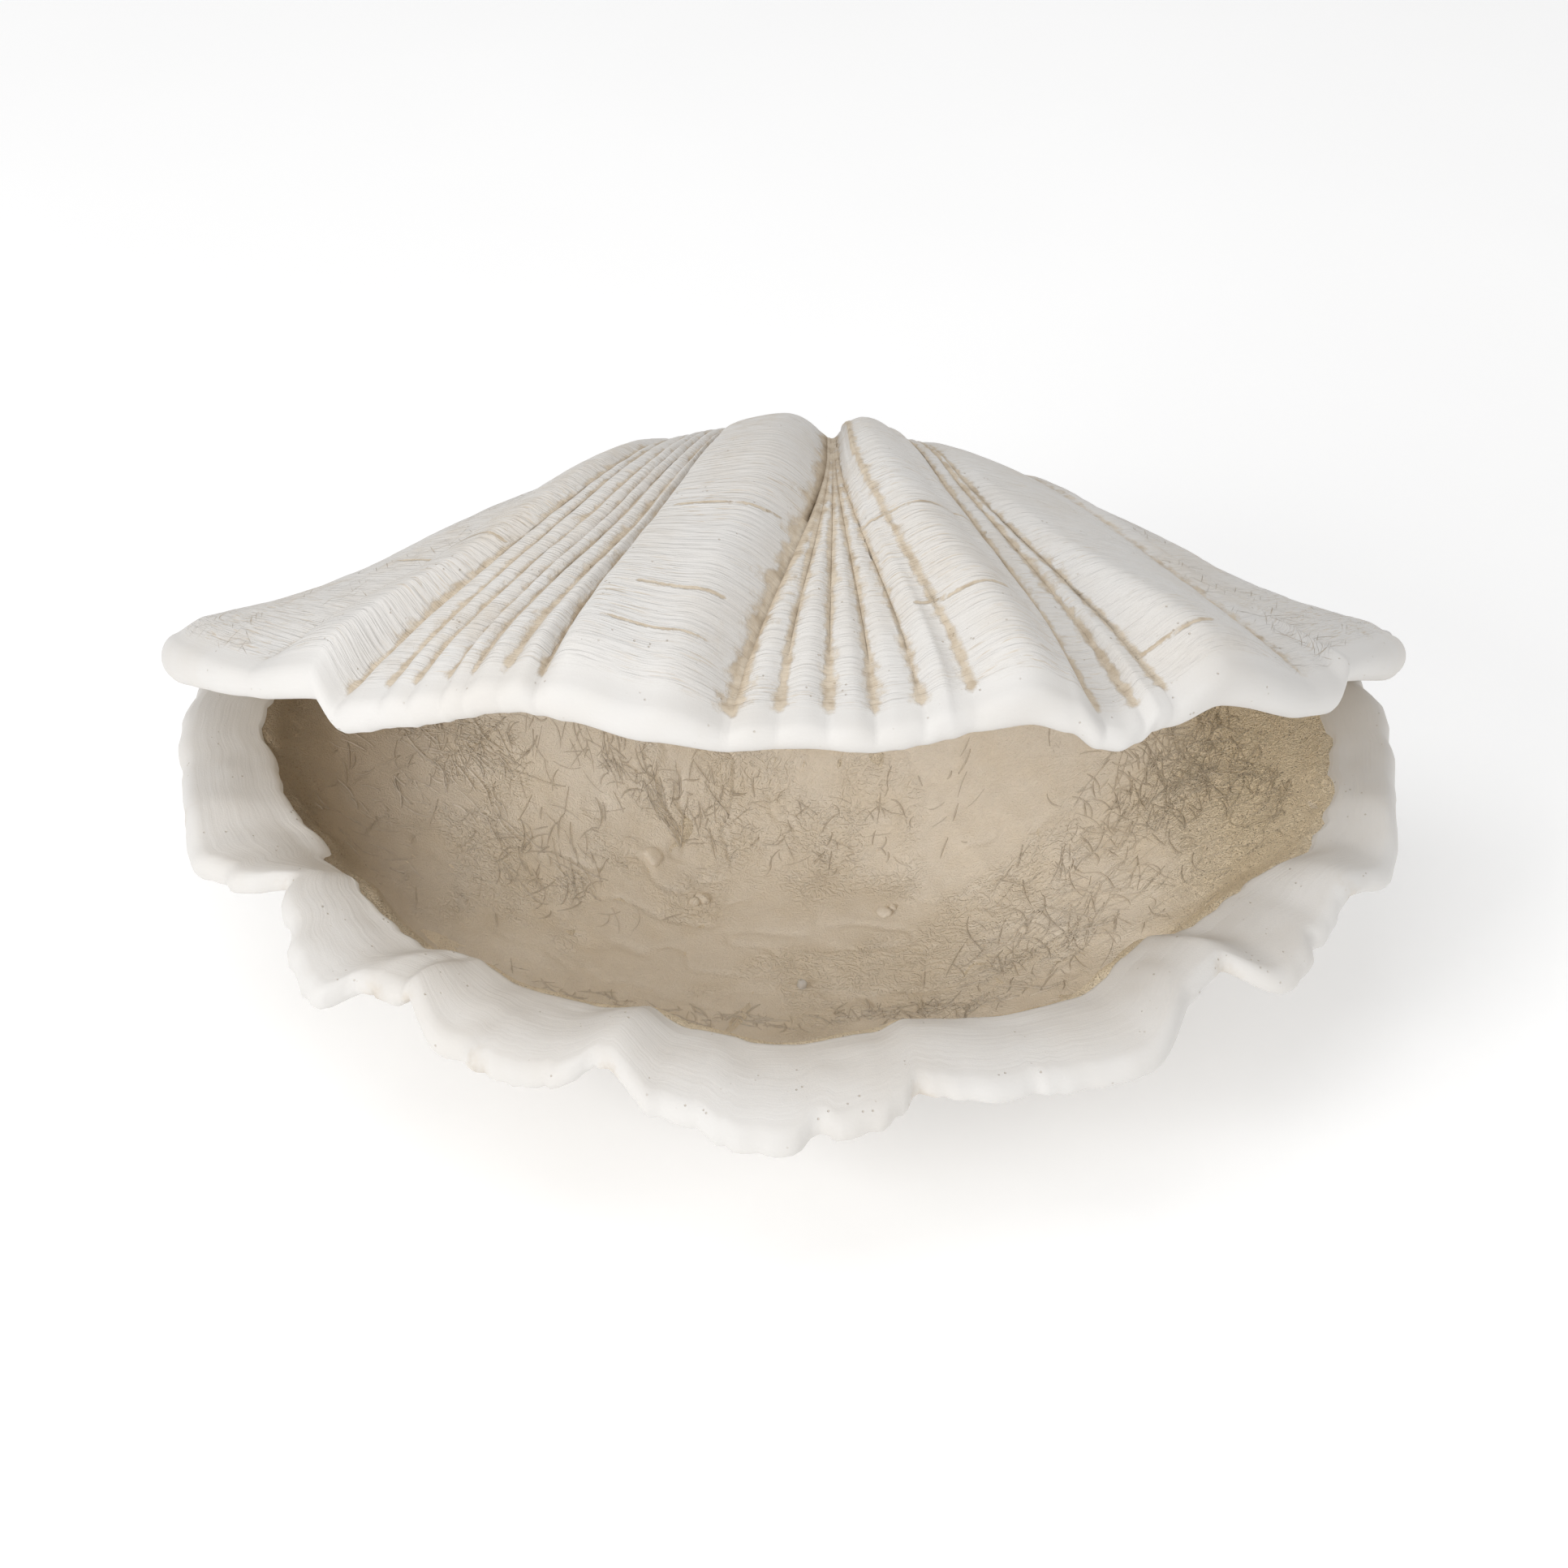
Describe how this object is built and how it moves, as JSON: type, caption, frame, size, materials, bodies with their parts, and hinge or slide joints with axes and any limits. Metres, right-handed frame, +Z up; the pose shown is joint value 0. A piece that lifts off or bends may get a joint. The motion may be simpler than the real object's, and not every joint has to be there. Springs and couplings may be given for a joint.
{
  "type": "open clam shell ornament",
  "caption": "Large half-open clam shell cast as an ornament, with a ribbed upper valve, a ruffled lower rim and a rough hollow inside.",
  "frame": {"origin": "centre of the flat foot under the lower valve, on the surface it rests on", "axes": "+Z up, mouth toward -Y, hinge line along X at +Y"},
  "size_m": [0.7807, 0.5346, 0.3798],
  "materials": {
    "painted_shell": "matt white paint on cast resin, with a beige wash left in the grooves",
    "raw_lining": "bare glass-fibre resin, rough, with strands, pits and pooled drops"
  },
  "bodies": {
    "root": {"upper_valve": "painted_shell", "lower_valve": "painted_shell"}
  },
  "joints": []
}
